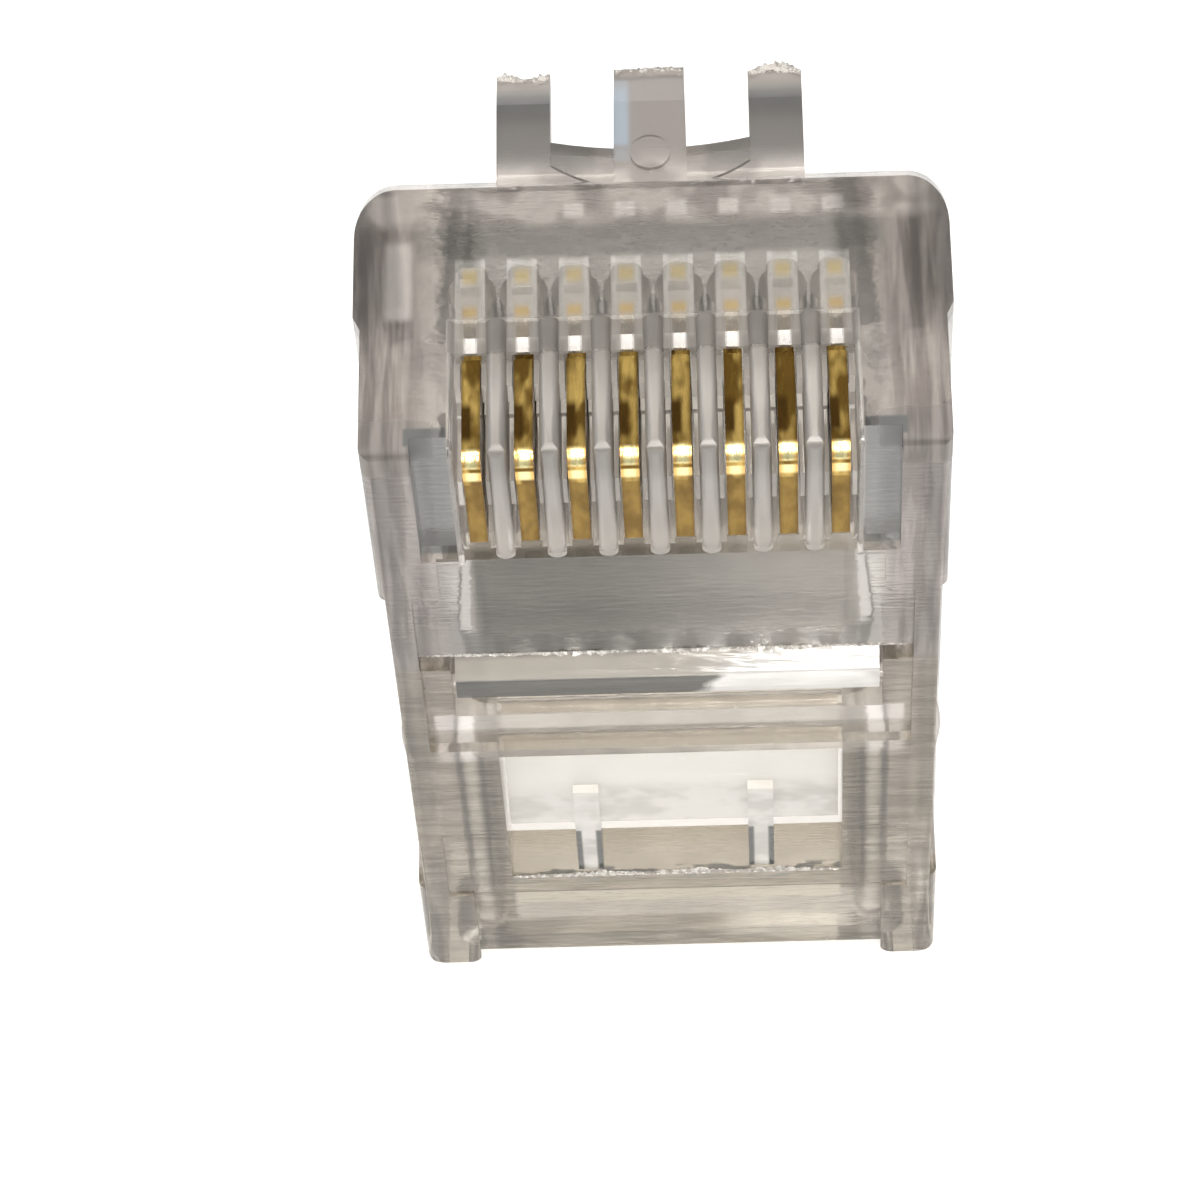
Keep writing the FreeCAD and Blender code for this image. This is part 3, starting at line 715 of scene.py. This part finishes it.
# %% Helper for closed strips
def closed_strip(name, rings):
    """Joins rings of equally many points into one closed skin and makes it a piece."""
    count = len(rings[0])
    points = [point for ring in rings for point in ring]
    last = len(points) - count
    faces = [tuple(range(count))[::-1], tuple(range(last, len(points)))]
    for first in range(0, last, count):
        for k in range(count):
            here, there = first + k, first + (k + 1) % count
            faces.append((here, there, there + count, here + count))
    mesh = bpy.data.meshes.new(name)
    mesh.from_pydata(points, [], faces)
    skin = bmesh.new()
    skin.from_mesh(mesh)
    bmesh.ops.recalc_face_normals(skin, faces=skin.faces)
    bmesh.ops.triangulate(skin, faces=skin.faces)
    skin.to_mesh(mesh)
    skin.free()
    piece = bpy.data.objects.new(name, mesh)
    piece.data.materials.append(torn)
    bpy.context.scene.collection.objects.link(piece)
    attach(piece, "housing")
    print(name, "has", len(mesh.polygons), "faces")


# %% [markdown]
# The lever snapped off, and the three legs that held it end in a torn break.
# Each break gets a ragged cap. It follows the leg's own top outline, which is
# read from the model's points, so that it sits on the leg, and it rises from
# there by a seeded random amount at every step.

# %% Torn caps on the three legs
LEG_TOPS_FROM = 9.0
CAP_STEP = 0.05
CAP_INSET = 0.01
CAPS = (("left_leg_tear", -3.2, -1.9, 0.11, 4), ("middle_leg_tear", -0.8, 0.8, 0.07, 6),
        ("right_leg_tear", 1.9, 3.2, 0.09, 9))  # name, first and last side, tallest, seed


def leg_top(first_side, last_side):
    """Points (side, deep) along a leg's top, and its nearest and furthest back."""
    tops, backs = {}, []
    for vertex in nodes["housing"].data.vertices:
        side, deep = vertex.co.x / MM, (vertex.co.y - contact_y) / MM
        if deep > LEG_TOPS_FROM and first_side <= side <= last_side:
            tops[round(side, 2)] = deep
            backs.append((nose_z - vertex.co.z) / MM)
    return sorted(tops.items()), min(backs), max(backs)


def torn_cap(name, first_side, last_side, tallest, seed):
    dice = random.Random(seed)
    tops, front, rear = leg_top(first_side, last_side)
    start, run = tops[0][0], tops[-1][0] - tops[0][0]
    steps = round(run / CAP_STEP)
    rings = []
    for step in range(steps + 1):
        side = start + CAP_INSET + (run - 2 * CAP_INSET) * step / steps
        left, right = next(pair for pair in zip(tops, tops[1:]) if pair[1][0] >= side - 1e-6)
        deep = left[1] + (right[1] - left[1]) * (side - left[0]) / (right[0] - left[0])
        rise = [tallest * dice.random() ** 1.5 for _ in range(3)]
        spots = ((deep - 0.16 - 0.1 * dice.random(), front - 0.015),
                 (deep - 0.04, front - 0.03 * dice.random()),
                 (deep + rise[0], front + 0.03), (deep + rise[1], (front + rear) / 2),
                 (deep + rise[2], rear - 0.03), (deep - 0.1, rear - 0.05))
        rings.append([tuple(on_plug(side, *spot)) for spot in spots])
    closed_strip(name, rings)


for cap in CAPS:
    torn_cap(*cap)

# %% [markdown]
# Where two halves of the mould met, a thin fin of plastic is left. It sparkles
# because every bit of it points another way. Its rings are small triangles,
# each with its own height and lean. One fin runs along the groove's front
# edge and one along the rear edge of the jacket bar's window.

# %% Ragged mould flash
FIN_STEP = 0.07
FINS = (("panel_edge_flash", 4.9, 0.125, 7.86, Vector((0, -1, 0)), 0.06, 0.12, 3),
        ("jacket_window_flash", 3.55, 0.06, 17.47, Vector((0, 0, 1)), 0.05, 0.22, 8))


def ragged_fin(name, half_run, deep, back, out, foot, tallest, seed):
    """A fin right across the plug that stands out by up to tallest. Lengths are in millimetres."""
    dice = random.Random(seed)
    start, end = on_plug(-half_run, deep, back), on_plug(half_run, deep, back)
    run = end - start
    along = run.normalized()
    side = along.cross(out)
    steps = round(run.length / MM / FIN_STEP)
    rings = []
    for step in range(steps + 1):
        share = step / steps
        swell = 0.25 + 0.75 * abs(math.sin(step * 0.11 + seed)) * dice.random()
        height = tallest * MM * swell * min(1.0, 4 * share + 0.1, 4.1 - 4 * share)
        half = foot * MM * (0.6 + 0.4 * dice.random())
        lean = along * dice.uniform(-0.03, 0.03) * MM + side * dice.uniform(-0.4, 0.4) * half
        spot = start + run * share
        rings.append([tuple(spot - side * half), tuple(spot + out * height + lean),
                      tuple(spot + side * half)])
    closed_strip(name, rings)


for fin in FINS:
    ragged_fin(*fin)

# %% [markdown]
# Light crosses several walls of this part before it comes out again, so it needs more steps than a
# solid object would. Seven are enough for the thick walls. With only four lamps it is quickest to pick
# one at random, and smooth stretches may stop early.

# %% Light paths
cycles = bpy.context.scene.cycles
cycles.max_bounces = 7
cycles.transmission_bounces = 7
cycles.glossy_bounces = 3
cycles.diffuse_bounces = 1
cycles.use_light_tree = False
cycles.adaptive_threshold = 0.05
